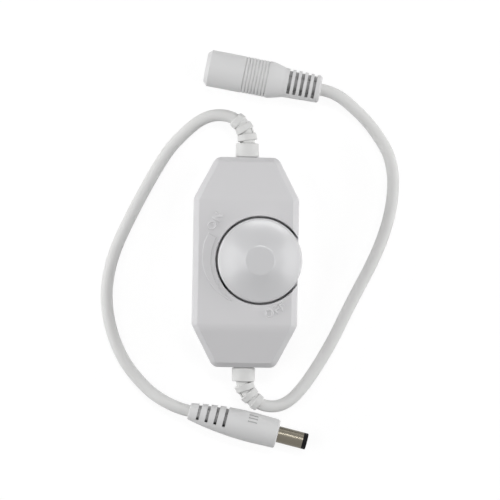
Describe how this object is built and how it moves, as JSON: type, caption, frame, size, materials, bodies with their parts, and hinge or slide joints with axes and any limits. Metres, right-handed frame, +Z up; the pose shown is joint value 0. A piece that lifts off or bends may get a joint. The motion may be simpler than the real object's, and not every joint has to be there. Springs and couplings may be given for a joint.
{
  "type": "rotary cord dimmer",
  "caption": "In-line rotary dimmer for a low-voltage light strip: flat white housing with a round side knob, a moulded barrel plug and a moulded socket on cords.",
  "frame": {"origin": "centre of the housing's base face", "axes": "+Z up through the knob, +Y along the housing towards the output cord, +X towards the side where the knob stands out"},
  "size_m": [0.0991, 0.1323, 0.0236],
  "materials": {
    "white_shell": "satin moulded",
    "knob_white": "turned sheen",
    "white_relief": "soft satin",
    "white_cord": "smooth jacket",
    "white_moulding": "soft satin moulded",
    "nickel": "polished plating",
    "contact_metal": "bright",
    "plated_steel": "bright zinc",
    "zinc_alloy": "cast",
    "tinned_metal": "tinned",
    "aluminium_can": "satin",
    "board_green": "solder mask",
    "phenolic_brown": "pressed laminate",
    "carbon_black": "printed carbon",
    "black_moulding": "matt epoxy",
    "ceramic_tan": "fired ceramic",
    "wire_red": "smooth",
    "wire_black": "smooth",
    "shaft_plastic": "moulded"
  },
  "bodies": {
    "housing": {"upper_shell": "white_shell", "lower_shell": "white_shell", "housing_screws": "plated_steel", "circuit_board": "board_green", "pot_base": "phenolic_brown", "resistive_track": "carbon_black", "pot_casing": "plated_steel", "pot_bushing": "zinc_alloy", "pot_terminals": "tinned_metal", "power_transistor": "black_moulding", "transistor_leads": "tinned_metal", "timer_chip": "black_moulding", "timer_leads": "tinned_metal", "electrolytic_capacitor": "aluminium_can", "capacitor_leads": "tinned_metal", "chip_resistors": "black_moulding", "chip_capacitors": "ceramic_tan", "protection_diode": "black_moulding", "diode_contacts": "tinned_metal", "solder_joints": "tinned_metal", "output_wire_red": "wire_red", "output_wire_black": "wire_black", "input_wire_red": "wire_red", "input_wire_black": "wire_black", "output_strain_relief": "white_relief", "input_strain_relief": "white_relief", "output_cord": "white_cord", "input_cord": "white_cord", "plug_body": "white_moulding", "plug_barrel": "nickel", "plug_insulator": "black_moulding", "plug_inner_contact": "contact_metal", "jack_body": "white_moulding", "jack_insert": "black_moulding", "jack_centre_pin": "contact_metal", "jack_spring": "contact_metal"},
    "knob": {"dimmer_knob": "knob_white", "pot_shaft": "shaft_plastic", "wiper_contact": "contact_metal"}
  },
  "joints": [
    {"name": "knob_turn", "type": "hinge", "parent": "housing", "child": "knob", "pos_m": [0.0048, 0.00075, 0.017], "axis": [0, 0, -1], "range_deg": [0, 300]}
  ]
}
